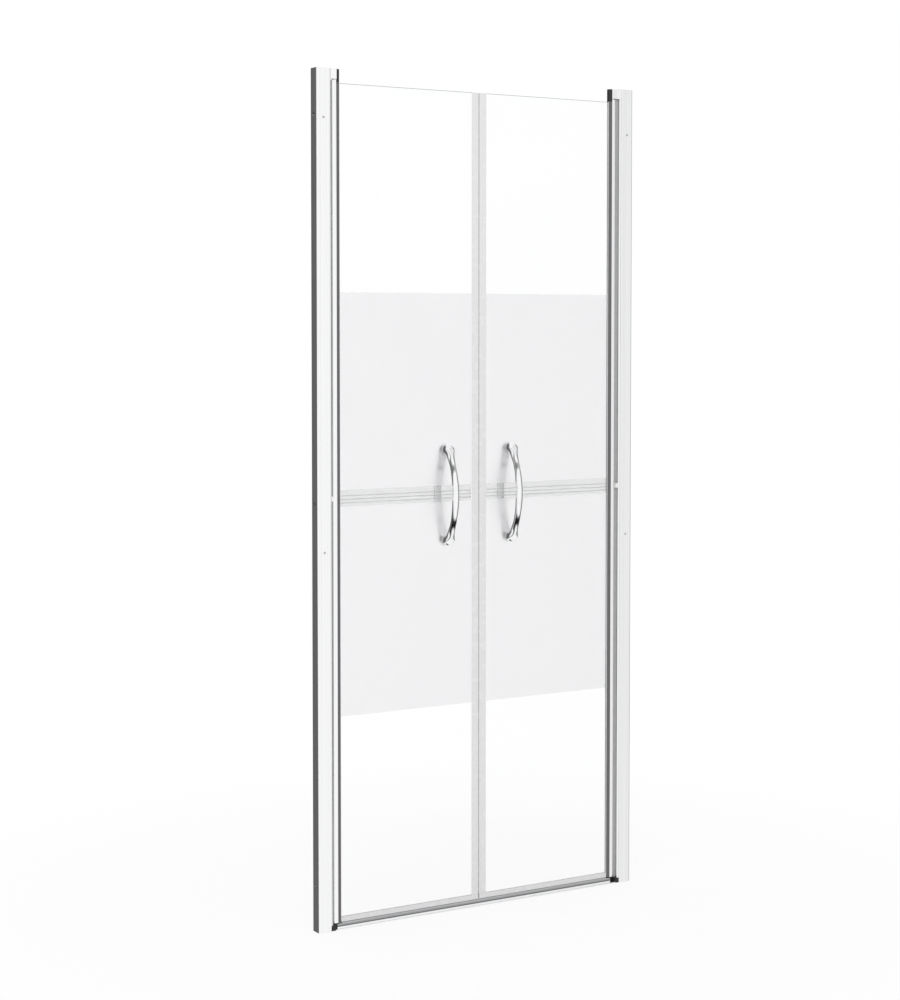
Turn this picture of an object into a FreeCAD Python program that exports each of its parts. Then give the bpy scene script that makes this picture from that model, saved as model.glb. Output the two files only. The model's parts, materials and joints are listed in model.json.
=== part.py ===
import FreeCAD, Part
import math
import os

# Double-leaf saloon shower door for a niche. Millimetres, +Z up, +X to the right, +Y into the
# shower. The origin is on the floor, midway between the walls and in the middle of the glass.
# Every side piece is modelled on the left and mirrored to the right.

# Overall size
door_height = 1900.0
door_width = 845.0

# Wall profile, a U channel that opens towards the door
profile_depth = 30.0
profile_reach = 31.5
profile_web = 2.0
profile_flange = 1.8
profile_corner = 3.0
profile_lip_corner = 0.6
profile_groove_width = 0.9
profile_groove_depth = 0.35
profile_groove_shares = (0.26, 0.76)
wall_hole_radius = 3.0
wall_hole_end_inset = 100.0

# Hinge jamb, a channel that slides in the wall profile
jamb_clearance = 0.2
jamb_flange = 1.6
jamb_web = 2.0
jamb_show = 4.5
jamb_engagement = 23.5
jamb_corner = 2.0

# Small screws that lock the jamb in the wall profile
lock_screw_radius = 1.75
lock_head_radius = 2.7
lock_head_height = 1.3
lock_screw_length = 6.0
lock_screw_inset = 16.5
lock_screw_top_drop = 107.0
lock_screw_low_height = 843.0

# Hinge post, an extrusion with a round back, flat faces and two claws for the glass
post_radius = 10.0
post_flat = 6.4
post_flat_end = 1.5
post_flat_corner = 0.5
post_back_corner = 6.0
post_claw_root = 5.4
post_claw_tip = 3.9
post_claw_reach = 8.4
post_claw_drop = 4.0
post_gap = 5.5
post_wall = 1.6
post_channel_depth = 6.0
post_hollow_half_angle = 26.0

# Dark trims over the claws
trim_base = 6.3
trim_nose = 4.2
trim_reach = 9.3
trim_round = 0.3

# Pivots: steel pins in the caps, plastic bushes in the post
pin_radius = 2.5
pin_bush_length = 38.0
pin_cap_depth = 8.0
bush_wall = 1.4
bush_length = 36.0
bush_flange = 2.2
bush_flange_margin = 0.4

# Caps that carry the pins; the top one holds a black bearing with a round nose
top_cap_height = 22.0
top_cap_half = 7.1
top_cap_reach = 2.0
top_cap_cheek = 1.4
top_cap_round = 0.8
bearing_back = 4.2
nose_centre = 3.7
bottom_cap_height = 12.0
bottom_block_length = 6.0
bottom_ear_thickness = 1.6
tongue_half = 4.3
tongue_reach = 11.5
cap_screw_radius = 2.0
cap_screw_length = 12.0
cap_head_radius = 3.5
cap_head_height = 2.4

# Soft strip and mid-height clip between jamb and post
post_seal_base = 6.0
post_seal_tip = 2.4
guide_height = 11.0
guide_width = 22.0
guide_centre = 960.0
guide_peg_radius = 3.0
guide_peg_length = 4.5

# Threshold bar
threshold_flange = 2.5
threshold_rib_width = 12.0
threshold_rib_height = 14.0
threshold_rib_overlap = 0.5
threshold_edge_round = 0.8

# Glass leaf and its seals
glass_thickness = 5.0
glass_top_drop = 30.0
gasket_leg = 0.75
gasket_lip = 0.8
seal_wall = 1.0
seal_lip = 2.6
bottom_seal_cover = 8.0
magnet_seal_cover = 11.0
magnet_chamber = 5.8
magnet_seal_corner = 1.2
meeting_gap = 2.4

# Ribbed decor strip across the leaf at handle height
strip_height = 37.0
strip_thickness = 1.2
strip_centre_height = 959.5
strip_groove_width = 1.4
strip_groove_depth = 0.6
strip_groove_shares = (-0.24, 0.0, 0.24)

# Bow handles and what clamps them through the glass
handle_inset = 85.5
handle_centre_height = 956.0
handle_spacing = 207.0
handle_end_reach = 8.5
handle_bow_reach = 39.0
handle_foot_radius = 11.8
handle_foot_length = 18.0
handle_foot_round = 5.0
handle_end_radius = 9.6
handle_neck_radius = 6.9
handle_grip_radius = 8.2
handle_neck_share = 0.62
handle_section_shares = (-0.98, -0.8, -0.62, -0.45, -0.2, 0.0, 0.2, 0.45, 0.62, 0.8, 0.98)
stud_radius = 3.0
stud_grip = 12.0
sleeve_radius = 6.0
washer_thickness = 1.0

# Clearances and the overrun of cuts
fit_clearance = 0.05
seat_clearance = 0.2
run_clearance = 0.3
cut_overrun = 1.0

# Places worked out from the sizes above
wall_x = -door_width / 2
profile_front = profile_depth / 2
profile_end_x = wall_x + profile_reach
jamb_half = profile_front - profile_flange - jamb_clearance
jamb_face_x = profile_end_x + jamb_show
jamb_start_x = profile_end_x - jamb_engagement
axis_x = jamb_face_x + post_gap + post_radius
post_face_x = axis_x + post_radius
bush_radius = pin_radius + fit_clearance + bush_wall
bore_radius = bush_radius + fit_clearance
post_bottom = bottom_cap_height + run_clearance + bush_flange
post_top = door_height - top_cap_height - run_clearance - bush_flange
top_cap_bottom = door_height - top_cap_height
gasket_half = glass_thickness / 2 + gasket_leg
channel_half = gasket_half + fit_clearance
channel_floor_x = post_face_x - post_channel_depth
glass_edge_x = channel_floor_x + gasket_leg + fit_clearance
seal_bottom = threshold_rib_height + run_clearance
glass_bottom = seal_bottom + seal_lip + seal_wall
glass_top = door_height - glass_top_drop
seal_half = glass_thickness / 2 + seal_wall
meeting_x = -meeting_gap / 2
glass_free_x = meeting_x - magnet_chamber - seal_wall
magnet_seal_start_x = glass_free_x - magnet_seal_cover
bottom_seal_top = glass_bottom + bottom_seal_cover
leaf_start_x = post_face_x + gasket_lip + seat_clearance
claw_end_x = axis_x + post_claw_reach
claw_top = post_top - post_claw_drop
cap_end_x = axis_x + top_cap_reach
tongue_end_x = axis_x + tongue_reach
block_end_x = jamb_face_x + bottom_block_length
ear_start_x = profile_end_x + seat_clearance
ear_inner = jamb_half - bottom_ear_thickness
handle_x = -handle_inset
foot_heights = [handle_centre_height - handle_spacing / 2, handle_centre_height + handle_spacing / 2]
glass_face = glass_thickness / 2


def vec(x, y, z):
    return FreeCAD.Vector(x, y, z)


def block(x0, x1, y0, y1, z0, z1):
    return Part.makeBox(x1 - x0, y1 - y0, z1 - z0, vec(x0, y0, z0))


def rod(radius, start, end):
    along = end - start
    return Part.makeCylinder(radius, along.Length, start, along)


def corner_arc(before, corner, after, radius):
    """Tangent points and middle of the arc that rounds one corner of an outline."""
    to_before = (before - corner).normalize()
    to_after = (after - corner).normalize()
    half_angle = to_before.getAngle(to_after) / 2
    reach = radius / math.tan(half_angle)
    inward = (to_before + to_after).normalize()
    middle = corner + inward * (radius / math.sin(half_angle) - radius)
    return corner + to_before * reach, middle, corner + to_after * reach


def outline_face(corners):
    """Flat face from (point, corner radius) pairs, with a radius of 0 for a sharp corner."""
    points = [point for point, radius in corners]
    stops = []
    for index, (point, radius) in enumerate(corners):
        if radius == 0:
            stops.append((point, None, point))
            continue
        after = points[(index + 1) % len(points)]
        stops.append(corner_arc(points[index - 1], point, after, radius))
    edges = []
    for index, (start, middle, end) in enumerate(stops):
        if middle is not None:
            edges.append(Part.Arc(start, middle, end).toShape())
        next_start = stops[(index + 1) % len(stops)][0]
        if (next_start - end).Length > 0:
            edges.append(Part.LineSegment(end, next_start).toShape())
    return Part.Face(Part.Wire(edges))


def upright(corners, z0, z1):
    """Extrude an outline of (x, y, corner radius) from z0 up to z1."""
    face = outline_face([(vec(x, y, z0), radius) for x, y, radius in corners])
    return face.extrude(vec(0, 0, z1 - z0))


def lengthwise(corners, x0, x1):
    """Extrude an outline of (y, z, corner radius) from x0 along X to x1."""
    face = outline_face([(vec(x0, y, z), radius) for y, z, radius in corners])
    return face.extrude(vec(x1 - x0, 0, 0))


def save(name, shape):
    shape.exportStep(os.path.join("parts", name + ".step"))
    print(name, len(shape.Solids), "solids", round(shape.Volume), "mm3", shape.isValid())


def mirrored(shape):
    return shape.mirror(vec(0, 0, 0), vec(1, 0, 0))


def save_pair(name, shape):
    save("left_" + name, shape)
    save("right_" + name, mirrored(shape))


def lock_screw_places():
    """Heights of the screws that lock one jamb."""
    return [lock_screw_low_height, door_height - lock_screw_top_drop]


def wall_profile():
    """U channel with fine grooves along both faces, wall screw holes and lock screw holes."""
    front = profile_front
    body = upright([
        (wall_x, -front, profile_corner),
        (profile_end_x, -front, profile_lip_corner),
        (profile_end_x, -front + profile_flange, 0),
        (wall_x + profile_web, -front + profile_flange, 0),
        (wall_x + profile_web, front - profile_flange, 0),
        (profile_end_x, front - profile_flange, 0),
        (profile_end_x, front, profile_lip_corner),
        (wall_x, front, profile_corner),
    ], 0, door_height)
    for share in profile_groove_shares:
        groove_x = wall_x + profile_reach * share
        for side in (-1, 1):
            floor_y = side * (front - profile_groove_depth)
            far_y = side * (front + cut_overrun)
            body = body.cut(block(
                groove_x - profile_groove_width / 2, groove_x + profile_groove_width / 2,
                min(floor_y, far_y), max(floor_y, far_y), 0, door_height))
    for z in (wall_hole_end_inset, door_height / 2, door_height - wall_hole_end_inset):
        hole = rod(wall_hole_radius, vec(wall_x - cut_overrun, 0, z),
                   vec(wall_x + profile_web + cut_overrun, 0, z))
        body = body.cut(hole)
    return body.cut(lock_screw_holes())


def lock_screw_holes():
    """Round holes for the lock screws of one side, through both front flanges."""
    x = wall_x + lock_screw_inset
    start_y = -profile_front - cut_overrun
    end_y = -profile_front + lock_screw_length + cut_overrun
    holes = [rod(lock_screw_radius + fit_clearance, vec(x, start_y, z), vec(x, end_y, z))
             for z in lock_screw_places()]
    return Part.Compound(holes)


def hinge_jamb():
    """Channel with its web towards the post, holes for screws and peg, and room for the cap's ears."""
    inner = jamb_half - jamb_flange
    body = upright([
        (jamb_start_x, -jamb_half, 0),
        (jamb_face_x, -jamb_half, jamb_corner),
        (jamb_face_x, jamb_half, jamb_corner),
        (jamb_start_x, jamb_half, 0),
        (jamb_start_x, inner, 0),
        (jamb_face_x - jamb_web, inner, 0),
        (jamb_face_x - jamb_web, -inner, 0),
        (jamb_start_x, -inner, 0),
    ], 0, door_height)
    inside_x = jamb_face_x - jamb_web - cut_overrun
    outside_x = jamb_face_x + cut_overrun
    for z in cap_screw_places():
        hole = rod(cap_screw_radius + fit_clearance, vec(inside_x, 0, z), vec(outside_x, 0, z))
        body = body.cut(hole)
    peg_hole = rod(guide_peg_radius + fit_clearance, vec(inside_x, 0, guide_centre),
                   vec(outside_x, 0, guide_centre))
    for side in (-1, 1):
        inner_y = side * (ear_inner - fit_clearance)
        outer_y = side * (jamb_half + cut_overrun)
        body = body.cut(block(profile_end_x, outside_x, min(inner_y, outer_y), max(inner_y, outer_y),
                              -cut_overrun, bottom_cap_height + fit_clearance))
    return body.cut(peg_hole).cut(lock_screw_holes())


def lock_screw(z):
    """Domed screw through the front flanges of wall profile and jamb."""
    x = wall_x + lock_screw_inset
    seat_y = -profile_front
    dome_radius = (lock_head_radius ** 2 + lock_head_height ** 2) / (2 * lock_head_height)
    ball = Part.makeSphere(dome_radius, vec(x, seat_y - lock_head_height + dome_radius, z))
    head = rod(lock_head_radius, vec(x, seat_y, z), vec(x, seat_y - lock_head_height, z)).common(ball)
    shank = rod(lock_screw_radius, vec(x, seat_y, z), vec(x, seat_y + lock_screw_length, z))
    return head.fuse(shank).removeSplitter()


def cap_screw_places():
    """Heights of the screws that hold the bottom and the top cap."""
    return [bottom_cap_height / 2, door_height - top_cap_height / 2]


def cap_screw(z):
    """Screw from inside the jamb, through its web, into a cap."""
    seat_x = jamb_face_x - jamb_web
    head = rod(cap_head_radius, vec(seat_x - cap_head_height, 0, z), vec(seat_x, 0, z))
    shank = rod(cap_screw_radius, vec(seat_x, 0, z), vec(seat_x + cap_screw_length, 0, z))
    return head.fuse(shank).removeSplitter()


def cap_screw_bore(z):
    """Blind hole in a cap for its screw."""
    end_x = jamb_face_x - jamb_web + cap_screw_length + seat_clearance
    return rod(cap_screw_radius + fit_clearance, vec(jamb_face_x - cut_overrun, 0, z), vec(end_x, 0, z))


def top_cap():
    """Hinge bracket flush with the profile's top, with a cheek on each side of the bearing."""
    top_z = door_height
    body = block(jamb_face_x, cap_end_x, -top_cap_half, top_cap_half, top_cap_bottom, top_z)
    rim = [edge for edge in body.Edges
           if edge.BoundBox.ZMin > top_z - cut_overrun and edge.BoundBox.YLength < cut_overrun]
    body = body.makeFillet(top_cap_round, rim)
    inner = top_cap_half - top_cap_cheek
    slot = block(axis_x - bearing_back, cap_end_x + cut_overrun, -inner, inner,
                 top_cap_bottom - cut_overrun, top_z + cut_overrun)
    return body.cut(slot).cut(cap_screw_bore(cap_screw_places()[1]))


def hinge_nose(z0, z1):
    """Half-round block beyond the cap's cheeks, over the free side of the hinge axis."""
    start_x = cap_end_x + fit_clearance
    centre_x = axis_x + nose_centre
    half = top_cap_half
    root = block(start_x, centre_x, -half, half, z0, z1)
    tip = rod(half, vec(centre_x, 0, z0), vec(centre_x, 0, z1))
    tip = tip.common(block(centre_x, centre_x + half, -half, half, z0, z1))
    return root.fuse(tip).removeSplitter()


def top_bearing():
    """Black block between the cap's cheeks that holds the upper pin."""
    top_z = door_height
    half = top_cap_half - top_cap_cheek - fit_clearance
    nose = hinge_nose(top_cap_bottom, top_z)
    rim = [edge for edge in nose.Edges
           if edge.BoundBox.ZMin > top_z - cut_overrun and edge.BoundBox.XMax > cap_end_x + cut_overrun]
    nose = nose.makeFillet(top_cap_round, rim)
    shank = block(axis_x - bearing_back + fit_clearance, axis_x + nose_centre, -half, half,
                  top_cap_bottom, top_z)
    body = nose.fuse(shank).removeSplitter()
    pin_top = top_cap_bottom + pin_cap_depth + seat_clearance
    pin_bore = rod(pin_radius + fit_clearance, vec(axis_x, 0, top_cap_bottom - cut_overrun),
                   vec(axis_x, 0, pin_top))
    return body.cut(pin_bore)


def bottom_cap():
    """Block on the floor beside the jamb, with two ears over the jamb's foot and a tongue for the pin."""
    body = block(jamb_face_x, block_end_x, -jamb_half, jamb_half, 0, bottom_cap_height)
    for side in (-1, 1):
        low_y, high_y = sorted((side * ear_inner, side * jamb_half))
        body = body.fuse(block(ear_start_x, jamb_face_x, low_y, high_y, 0, bottom_cap_height))
    tongue = block(block_end_x, tongue_end_x, -tongue_half, tongue_half, threshold_flange,
                   bottom_cap_height)
    body = body.fuse(tongue).removeSplitter()
    pin_bottom = bottom_cap_height - pin_cap_depth - seat_clearance
    pin_bore = rod(pin_radius + fit_clearance, vec(axis_x, 0, pin_bottom),
                   vec(axis_x, 0, bottom_cap_height + cut_overrun))
    return body.cut(pin_bore).cut(cap_screw_bore(cap_screw_places()[0]))


def top_pin():
    return rod(pin_radius, vec(axis_x, 0, top_cap_bottom - pin_bush_length),
               vec(axis_x, 0, top_cap_bottom + pin_cap_depth))


def bottom_pin():
    return rod(pin_radius, vec(axis_x, 0, bottom_cap_height - pin_cap_depth),
               vec(axis_x, 0, bottom_cap_height + pin_bush_length))


def post_seal():
    """Soft tapered strip on the jamb's face, in two lengths with the guide between them."""
    tip_x = jamb_face_x + post_gap - run_clearance
    plan = [
        (jamb_face_x, -post_seal_base / 2, 0),
        (tip_x, -post_seal_tip / 2, post_seal_tip / 4),
        (tip_x, post_seal_tip / 2, post_seal_tip / 4),
        (jamb_face_x, post_seal_base / 2, 0),
    ]
    half_gap = guide_height / 2 + seat_clearance
    lower = upright(plan, bottom_cap_height + seat_clearance, guide_centre - half_gap)
    upper = upright(plan, guide_centre + half_gap, top_cap_bottom - seat_clearance)
    return Part.Compound([lower, upper])


def post_guide():
    """Clip pegged into the jamb, with a hollow face that steadies the post at mid-height."""
    low = guide_centre - guide_height / 2
    high = guide_centre + guide_height / 2
    body = block(jamb_face_x, axis_x, -guide_width / 2, guide_width / 2, low, high)
    hollow = rod(post_radius + run_clearance, vec(axis_x, 0, low - cut_overrun),
                 vec(axis_x, 0, high + cut_overrun))
    reach_x = jamb_face_x + post_gap + run_clearance
    body = body.cut(hollow).common(block(jamb_face_x, reach_x, -guide_width, guide_width, low, high))
    peg = rod(guide_peg_radius, vec(jamb_face_x - guide_peg_length, 0, guide_centre),
              vec(jamb_face_x, 0, guide_centre))
    return body.fuse(peg).removeSplitter()


def threshold_bar():
    """Flat strip on the floor between the caps; its round-topped rib is slotted over their tongues."""
    flange_end = -block_end_x - seat_clearance
    front = profile_front
    flange = lengthwise([
        (-front, 0, 0),
        (front, 0, 0),
        (front, threshold_flange, threshold_edge_round),
        (-front, threshold_flange, threshold_edge_round),
    ], -flange_end, flange_end)
    rib_end = -axis_x + threshold_rib_overlap
    crest_end = -tongue_end_x - seat_clearance
    half = threshold_rib_width / 2
    shoulder = threshold_rib_height - half
    rib = block(-rib_end, rib_end, -half, half, 0, shoulder)
    crest = rod(half, vec(-rib_end, 0, shoulder), vec(rib_end, 0, shoulder))
    bar = flange.fuse(rib.fuse(crest)).removeSplitter()
    slot_half = tongue_half + seat_clearance
    slot_top = threshold_rib_height + cut_overrun
    for side in (-1, 1):
        near_x, far_x = sorted((side * crest_end, side * (rib_end + cut_overrun)))
        bar = bar.cut(block(near_x, far_x, -slot_half, slot_half, threshold_flange, slot_top))
        bar = bar.cut(block(near_x, far_x, -half, half, bottom_cap_height, slot_top))
    return bar


def hinge_post():
    """Extrusion with a round back, flat faces, a bore for the bushes and two claws for the glass."""
    body = upright([
        (axis_x - post_radius, -post_flat, post_back_corner),
        (axis_x + post_flat_end, -post_flat, post_flat_corner),
        (axis_x + post_flat_end, post_flat, post_flat_corner),
        (axis_x - post_radius, post_flat, post_back_corner),
    ], post_bottom, post_top)
    claws = upright([
        (axis_x, -post_claw_root, 0),
        (axis_x + post_flat_end, -post_claw_root, 0),
        (claw_end_x, -post_claw_tip, 0),
        (claw_end_x, post_claw_tip, 0),
        (axis_x + post_flat_end, post_claw_root, 0),
        (axis_x, post_claw_root, 0),
    ], post_bottom, claw_top)
    low = post_bottom - cut_overrun
    high = post_top + cut_overrun
    bore = rod(bore_radius, vec(axis_x, 0, low), vec(axis_x, 0, high))
    channel = block(axis_x, claw_end_x + cut_overrun, -channel_half, channel_half, low, high)
    body = body.fuse(claws).removeSplitter()
    return body.cut(bore.fuse(channel)).cut(post_hollow(low, high))


def post_trims():
    """Dark strips that cover the claws, one on each face of the glass."""
    base_x = axis_x + post_flat_end + fit_clearance
    claw_x = claw_end_x + fit_clearance
    nose_x = axis_x + trim_reach
    strips = []
    for side in (-1, 1):
        strips.append(upright([
            (base_x, side * (post_claw_root + fit_clearance), 0),
            (claw_x, side * (post_claw_tip + fit_clearance), 0),
            (claw_x, side * channel_half, 0),
            (nose_x, side * channel_half, 0),
            (nose_x, side * trim_nose, trim_round),
            (base_x, side * trim_base, trim_round),
        ], post_bottom, claw_top))
    return Part.Compound(strips)


def post_hollow(low, high):
    """Crescent hollow behind the bore, which leaves an even wall inside and out."""
    inner = bore_radius + post_wall
    outer = post_radius - post_wall
    half = math.radians(post_hollow_half_angle)

    def at(radius, angle):
        return vec(axis_x - radius * math.cos(angle), radius * math.sin(angle), low)

    outer_arc = Part.Arc(at(outer, -half), at(outer, 0), at(outer, half)).toShape()
    inner_arc = Part.Arc(at(inner, half), at(inner, 0), at(inner, -half)).toShape()
    first = Part.LineSegment(at(outer, half), at(inner, half)).toShape()
    last = Part.LineSegment(at(inner, -half), at(outer, -half)).toShape()
    face = Part.Face(Part.Wire([outer_arc, first, inner_arc, last]))
    return face.extrude(vec(0, 0, high - low))


def post_bush(end_z, inward):
    """Flanged bush in one end of the post; inward is the direction along Z into the post."""
    flange_z = end_z - inward * bush_flange
    tail_z = end_z + inward * bush_length
    flange = rod(post_flat - bush_flange_margin, vec(axis_x, 0, flange_z), vec(axis_x, 0, end_z))
    barrel = rod(bush_radius, vec(axis_x, 0, end_z), vec(axis_x, 0, tail_z))
    bore = rod(pin_radius + fit_clearance, vec(axis_x, 0, flange_z - inward * cut_overrun),
               vec(axis_x, 0, tail_z + inward * cut_overrun))
    return flange.fuse(barrel).removeSplitter().cut(bore)


def post_cover():
    """Black nose over the ends of the claws, round the upper bush's flange."""
    nose = hinge_nose(claw_top + fit_clearance, post_top + bush_flange)
    flange_room = rod(post_flat - bush_flange_margin + fit_clearance, vec(axis_x, 0, claw_top),
                      vec(axis_x, 0, top_cap_bottom))
    return nose.cut(flange_room)


def glazing_gasket():
    """U strip round the glass edge inside the post, with a small lip outside it."""
    lip_x = post_face_x + gasket_lip
    outer = block(channel_floor_x + fit_clearance, lip_x, -gasket_half, gasket_half,
                  glass_bottom, glass_top)
    slot = block(glass_edge_x, lip_x + cut_overrun, -glass_face, glass_face,
                 glass_bottom - cut_overrun, glass_top + cut_overrun)
    return outer.cut(slot)


def glass_pane():
    """Toughened pane with two holes for the handles."""
    pane = block(glass_edge_x, glass_free_x, -glass_face, glass_face, glass_bottom, glass_top)
    for z in foot_heights:
        hole = rod(sleeve_radius + fit_clearance, vec(handle_x, -glass_face - cut_overrun, z),
                   vec(handle_x, glass_face + cut_overrun, z))
        pane = pane.cut(hole)
    return pane


def magnet_seal():
    """Clip-on strip with two legs over the glass and a chamber for the magnet."""
    low = bottom_seal_top + seat_clearance
    body = upright([
        (magnet_seal_start_x, -seal_half, 0),
        (meeting_x, -seal_half, magnet_seal_corner),
        (meeting_x, seal_half, magnet_seal_corner),
        (magnet_seal_start_x, seal_half, 0),
        (magnet_seal_start_x, glass_face, 0),
        (glass_free_x, glass_face, 0),
        (glass_free_x, -glass_face, 0),
        (magnet_seal_start_x, -glass_face, 0),
    ], low, glass_top)
    chamber = block(glass_free_x + seal_wall, meeting_x - seal_wall, -glass_face, glass_face,
                    low - cut_overrun, glass_top + cut_overrun)
    return body.cut(chamber)


def magnet_strip():
    """Flexible magnet inside the seal's chamber."""
    half = glass_face - seat_clearance
    low = bottom_seal_top + seat_clearance + seal_wall
    return block(glass_free_x + seal_wall + seat_clearance, meeting_x - seal_wall - seat_clearance,
                 -half, half, low, glass_top - seal_wall)


def bottom_seal():
    """H strip under the glass: legs that grip the pane above, two wiping lips below."""
    web_bottom = seal_bottom + seal_lip
    section = [
        (-seal_half, seal_bottom, 0),
        (-glass_face, seal_bottom, 0),
        (-glass_face, web_bottom, 0),
        (glass_face, web_bottom, 0),
        (glass_face, seal_bottom, 0),
        (seal_half, seal_bottom, 0),
        (seal_half, bottom_seal_top, 0),
        (glass_face, bottom_seal_top, 0),
        (glass_face, glass_bottom, 0),
        (-glass_face, glass_bottom, 0),
        (-glass_face, bottom_seal_top, 0),
        (-seal_half, bottom_seal_top, 0),
    ]
    return lengthwise(section, leaf_start_x, meeting_x)


def decor_strip():
    """Thin strip on the shower side of the glass with fine grooves along it."""
    start_x = leaf_start_x
    end_x = magnet_seal_start_x - seat_clearance
    half = strip_height / 2
    back = glass_face + strip_thickness
    body = block(start_x, end_x, glass_face, back, strip_centre_height - half, strip_centre_height + half)
    for share in strip_groove_shares:
        z = strip_centre_height + strip_height * share
        groove = block(start_x - cut_overrun, end_x + cut_overrun, back - strip_groove_depth,
                       back + cut_overrun, z - strip_groove_width / 2, z + strip_groove_width / 2)
        body = body.cut(groove)
    return body


def bow_radius():
    """Radius of the bow's centre line, from its chord and how far it stands out."""
    rise = handle_bow_reach - handle_end_reach
    half_chord = handle_spacing / 2
    return (half_chord ** 2 + rise ** 2) / (2 * rise)


def bar_radius(share):
    """Thickness of the bow: full at the grip, slim at the neck, flared at the ends."""
    place = abs(share)
    if place < handle_neck_share:
        blend = (1 - math.cos(math.pi * place / handle_neck_share)) / 2
        return handle_grip_radius + (handle_neck_radius - handle_grip_radius) * blend
    blend = (1 - math.cos(math.pi * (place - handle_neck_share) / (1 - handle_neck_share))) / 2
    return handle_neck_radius + (handle_end_radius - handle_neck_radius) * blend


def bow_section(share):
    """One round section of the bow, square to its centre line."""
    radius = bow_radius()
    angle = math.asin(handle_spacing / 2 / radius) * share
    centre_y = -glass_face - handle_bow_reach + radius * (1 - math.cos(angle))
    centre = vec(handle_x, centre_y, handle_centre_height + radius * math.sin(angle))
    along = vec(0, math.sin(angle), math.cos(angle))
    return Part.Wire(Part.makeCircle(bar_radius(share), centre, along))


def handle_foot(z):
    """Round foot of a handle with a well rounded front, from the washer outwards."""
    front_y = -glass_face - handle_foot_length
    foot = rod(handle_foot_radius, vec(handle_x, -glass_face - washer_thickness, z),
               vec(handle_x, front_y, z))
    front_rim = [edge for edge in foot.Edges if edge.BoundBox.YMax < front_y + fit_clearance]
    return foot.makeFillet(handle_foot_round, front_rim)


def outer_handle():
    """Bow between two round feet; the feet are bored for the studs."""
    body = Part.makeLoft([bow_section(share) for share in handle_section_shares], True, False)
    seat_y = -glass_face - washer_thickness
    for z in foot_heights:
        body = body.fuse(handle_foot(z))
    for z in foot_heights:
        bore = rod(stud_radius + fit_clearance, vec(handle_x, seat_y + cut_overrun, z),
                   vec(handle_x, seat_y - stud_grip - seat_clearance, z))
        body = body.cut(bore)
    return body


def handle_studs():
    """Threaded studs, drawn plain, that join the two handles of a leaf."""
    end_y = glass_face + washer_thickness + stud_grip
    return Part.Compound([rod(stud_radius, vec(handle_x, -end_y, z), vec(handle_x, end_y, z))
                          for z in foot_heights])


def ring(outer, y0, y1, z):
    """Flat ring round a stud."""
    body = rod(outer, vec(handle_x, y0, z), vec(handle_x, y1, z))
    bore = rod(stud_radius + fit_clearance, vec(handle_x, y0 - cut_overrun, z),
               vec(handle_x, y1 + cut_overrun, z))
    return body.cut(bore)


def handle_sleeves():
    """Sleeves that keep the studs off the glass."""
    return Part.Compound([ring(sleeve_radius, -glass_face, glass_face, z) for z in foot_heights])


def handle_washers():
    """Soft washers between the handle feet and both faces of the glass."""
    outer = handle_foot_radius - seat_clearance
    rings = []
    for z in foot_heights:
        rings.append(ring(outer, -glass_face - washer_thickness, -glass_face, z))
        rings.append(ring(outer, glass_face, glass_face + washer_thickness, z))
    return Part.Compound(rings)


def both_sides(shapes):
    """The same solids on the left and mirrored on the right, as one group."""
    return Part.Compound(shapes + [mirrored(shape) for shape in shapes])


def build_frame():
    save_pair("wall_profile", wall_profile())
    save_pair("hinge_jamb", hinge_jamb())
    save_pair("top_cap", top_cap())
    save_pair("top_bearing", top_bearing())
    save_pair("bottom_cap", bottom_cap())
    save_pair("top_pin", top_pin())
    save_pair("bottom_pin", bottom_pin())
    save_pair("post_seal", post_seal())
    save_pair("post_guide", post_guide())
    save("threshold_bar", threshold_bar())
    save("jamb_lock_screws", both_sides([lock_screw(z) for z in lock_screw_places()]))
    save("cap_screws", both_sides([cap_screw(z) for z in cap_screw_places()]))


def build_leaves():
    save_pair("glass", glass_pane())
    save_pair("hinge_post", hinge_post())
    save_pair("glazing_gasket", glazing_gasket())
    save_pair("post_trims", post_trims())
    save_pair("post_cover", post_cover())
    save_pair("top_bush", post_bush(post_top, -1))
    save_pair("bottom_bush", post_bush(post_bottom, 1))
    save_pair("magnet_seal", magnet_seal())
    save_pair("magnet_strip", magnet_strip())
    save_pair("bottom_seal", bottom_seal())
    save_pair("decor_strip", decor_strip())
    handle = outer_handle()
    save_pair("outer_handle", handle)
    save_pair("inner_handle", handle.mirror(vec(0, 0, 0), vec(0, 1, 0)))
    save_pair("handle_studs", handle_studs())
    save_pair("handle_sleeves", handle_sleeves())
    save_pair("handle_washers", handle_washers())


os.makedirs("parts", exist_ok=True)
build_frame()
build_leaves()
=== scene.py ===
# %% [markdown]
# # A double-leaf shower door
# Two glass leaves swing on slim posts between two wall profiles. The construction is packed already:
# every rail, pin and hole has its place. This lesson dresses it. It models the pieces that show with
# Blender's own operators, as by hand, and gives every surface a finish made of nodes.

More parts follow.
